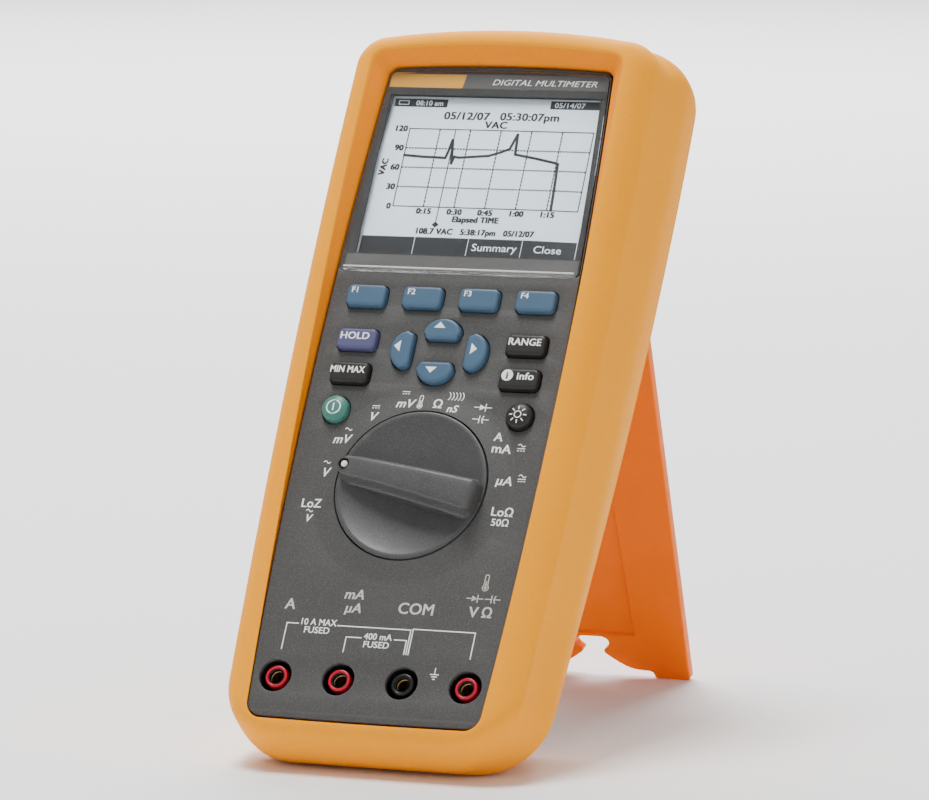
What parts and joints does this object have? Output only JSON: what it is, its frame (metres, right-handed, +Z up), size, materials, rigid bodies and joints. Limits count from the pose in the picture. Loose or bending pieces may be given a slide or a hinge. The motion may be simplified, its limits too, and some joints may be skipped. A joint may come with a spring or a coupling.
{
  "type": "handheld digital multimeter",
  "caption": "Handheld logging multimeter with a large graphic display, soft keys, rotary switch, input jacks and a fold-out tilt stand, in a yellow overmoulded case.",
  "frame": {"origin": "on the floor plane, under the middle of the standing object's bounding box", "axes": "+Z up; +X to the user's right along the row of jacks; the leaning face looks towards -Y and the open stand reaches towards +Y"},
  "size_m": [0.1006, 0.1862, 0.2005],
  "materials": {
    "overmould": "soft satin moulded rubber with a fine grain",
    "stand": "satin moulded plastic",
    "face": "fine spark-eroded grain",
    "inner_case": "moulded, lightly textured",
    "door": "moulded, lightly textured",
    "black_moulding": "moulded",
    "seal": "matt",
    "window": "clear polished plastic lens",
    "display": "pale reflective display glass",
    "light_guide": "clear diffuse",
    "knob": "satin moulded",
    "pointer": "printed white",
    "rotor": "natural moulded",
    "steel": "bright",
    "brass": "bright turned",
    "collar_red": "satin moulded",
    "collar_black": "satin moulded",
    "board": "solder-mask green",
    "cell_jacket": "shrink sleeve",
    "fuse_body": "ceramic-like",
    "key_blue": "satin elastomer",
    "key_black": "satin elastomer",
    "key_violet": "satin elastomer",
    "key_teal": "satin elastomer"
  },
  "bodies": {
    "case": {"battery_bay": "black_moulding", "battery_cell_high_1": "cell_jacket", "battery_cell_high_2": "cell_jacket", "battery_cell_high_3": "cell_jacket", "battery_cell_low_1": "cell_jacket", "battery_cell_low_2": "cell_jacket", "battery_cell_low_3": "cell_jacket", "battery_contacts_high": "steel", "battery_contacts_low": "steel", "case_screw_1": "steel", "case_screw_2": "steel", "case_screw_3": "steel", "case_screw_4": "steel", "detent_spring": "steel", "dial_seal": "seal", "display_frame": "black_moulding", "display_window": "window", "front_case": "face", "front_overmould": "overmould", "fuse_high_current": "fuse_body", "fuse_holder": "black_moulding", "fuse_low_current": "fuse_body", "jack_block": "black_moulding", "jack_collar_amps": "collar_red", "jack_collar_common": "collar_black", "jack_collar_milliamps": "collar_red", "jack_collar_volts_ohms": "collar_red", "jack_contact_amps": "brass", "jack_contact_common": "brass", "jack_contact_milliamps": "brass", "jack_contact_volts_ohms": "brass", "keypad_mat": "seal", "lcd_light_guide": "light_guide", "lcd_panel": "display", "main_board": "board", "rear_case": "inner_case", "rear_overmould": "overmould", "stand_pin": "steel", "window_gasket": "seal"},
    "dial": {"dial_knob": "knob", "dial_pointer_dot": "pointer", "switch_rotor": "rotor"},
    "key_f1_cap": {"key_f1": "key_blue"},
    "key_f2_cap": {"key_f2": "key_blue"},
    "key_f3_cap": {"key_f3": "key_blue"},
    "key_f4_cap": {"key_f4": "key_blue"},
    "key_hold_cap": {"key_hold": "key_violet"},
    "key_min_max_cap": {"key_min_max": "key_black"},
    "key_range_cap": {"key_range": "key_black"},
    "key_info_cap": {"key_info": "key_black"},
    "key_up_cap": {"key_up": "key_blue"},
    "key_left_cap": {"key_left": "key_blue"},
    "key_down_cap": {"key_down": "key_blue"},
    "key_right_cap": {"key_right": "key_blue"},
    "key_power_cap": {"key_power": "key_teal"},
    "key_backlight_cap": {"key_backlight": "key_black"},
    "door": {"battery_door": "door"},
    "fastener_left": {"door_fastener_left": "brass"},
    "fastener_right": {"door_fastener_right": "brass"},
    "stand": {"tilt_stand": "stand"}
  },
  "joints": [
    {"name": "dial_turn", "type": "hinge", "parent": "case", "child": "dial", "pos_m": [0, -0.05441, 0.07655], "axis": [0, -0.8536, 0.521], "range_deg": [-188, 23.5]},
    {"name": "key_f1_press", "type": "slide", "parent": "case", "child": "key_f1_cap", "axis": [0, 0.8536, -0.521], "range_m": [0, 0.0012], "stiffness_N_per_m": 1200},
    {"name": "key_f2_press", "type": "slide", "parent": "case", "child": "key_f2_cap", "axis": [0, 0.8536, -0.521], "range_m": [0, 0.0012], "stiffness_N_per_m": 1200},
    {"name": "key_f3_press", "type": "slide", "parent": "case", "child": "key_f3_cap", "axis": [0, 0.8536, -0.521], "range_m": [0, 0.0012], "stiffness_N_per_m": 1200},
    {"name": "key_f4_press", "type": "slide", "parent": "case", "child": "key_f4_cap", "axis": [0, 0.8536, -0.521], "range_m": [0, 0.0012], "stiffness_N_per_m": 1200},
    {"name": "key_hold_press", "type": "slide", "parent": "case", "child": "key_hold_cap", "axis": [0, 0.8536, -0.521], "range_m": [0, 0.0012], "stiffness_N_per_m": 1200},
    {"name": "key_min_max_press", "type": "slide", "parent": "case", "child": "key_min_max_cap", "axis": [0, 0.8536, -0.521], "range_m": [0, 0.0012], "stiffness_N_per_m": 1200},
    {"name": "key_range_press", "type": "slide", "parent": "case", "child": "key_range_cap", "axis": [0, 0.8536, -0.521], "range_m": [0, 0.0012], "stiffness_N_per_m": 1200},
    {"name": "key_info_press", "type": "slide", "parent": "case", "child": "key_info_cap", "axis": [0, 0.8536, -0.521], "range_m": [0, 0.0012], "stiffness_N_per_m": 1200},
    {"name": "key_up_press", "type": "slide", "parent": "case", "child": "key_up_cap", "axis": [0, 0.8536, -0.521], "range_m": [0, 0.0012], "stiffness_N_per_m": 1200},
    {"name": "key_left_press", "type": "slide", "parent": "case", "child": "key_left_cap", "axis": [0, 0.8536, -0.521], "range_m": [0, 0.0012], "stiffness_N_per_m": 1200},
    {"name": "key_down_press", "type": "slide", "parent": "case", "child": "key_down_cap", "axis": [0, 0.8536, -0.521], "range_m": [0, 0.0012], "stiffness_N_per_m": 1200},
    {"name": "key_right_press", "type": "slide", "parent": "case", "child": "key_right_cap", "axis": [0, 0.8536, -0.521], "range_m": [0, 0.0012], "stiffness_N_per_m": 1200},
    {"name": "key_power_press", "type": "slide", "parent": "case", "child": "key_power_cap", "axis": [0, 0.8536, -0.521], "range_m": [0, 0.0012], "stiffness_N_per_m": 1200},
    {"name": "key_backlight_press", "type": "slide", "parent": "case", "child": "key_backlight_cap", "axis": [0, 0.8536, -0.521], "range_m": [0, 0.0012], "stiffness_N_per_m": 1200},
    {"name": "door_lift", "type": "slide", "parent": "case", "child": "door", "axis": [0, 0.8536, -0.521], "range_m": [0, 0.006]},
    {"name": "fastener_left_turn", "type": "hinge", "parent": "door", "child": "fastener_left", "pos_m": [-0.015, 0.03237, 0.13312], "axis": [0, -0.8536, 0.521], "range_deg": [0, 90]},
    {"name": "fastener_right_turn", "type": "hinge", "parent": "door", "child": "fastener_right", "pos_m": [0.015, 0.03237, 0.13312], "axis": [0, -0.8536, 0.521], "range_deg": [0, 90]},
    {"name": "stand_fold", "type": "hinge", "parent": "case", "child": "stand", "pos_m": [0, 0.04171, 0.14381], "axis": [1, 0, 0], "range_deg": [-50.52, 0]}
  ]
}
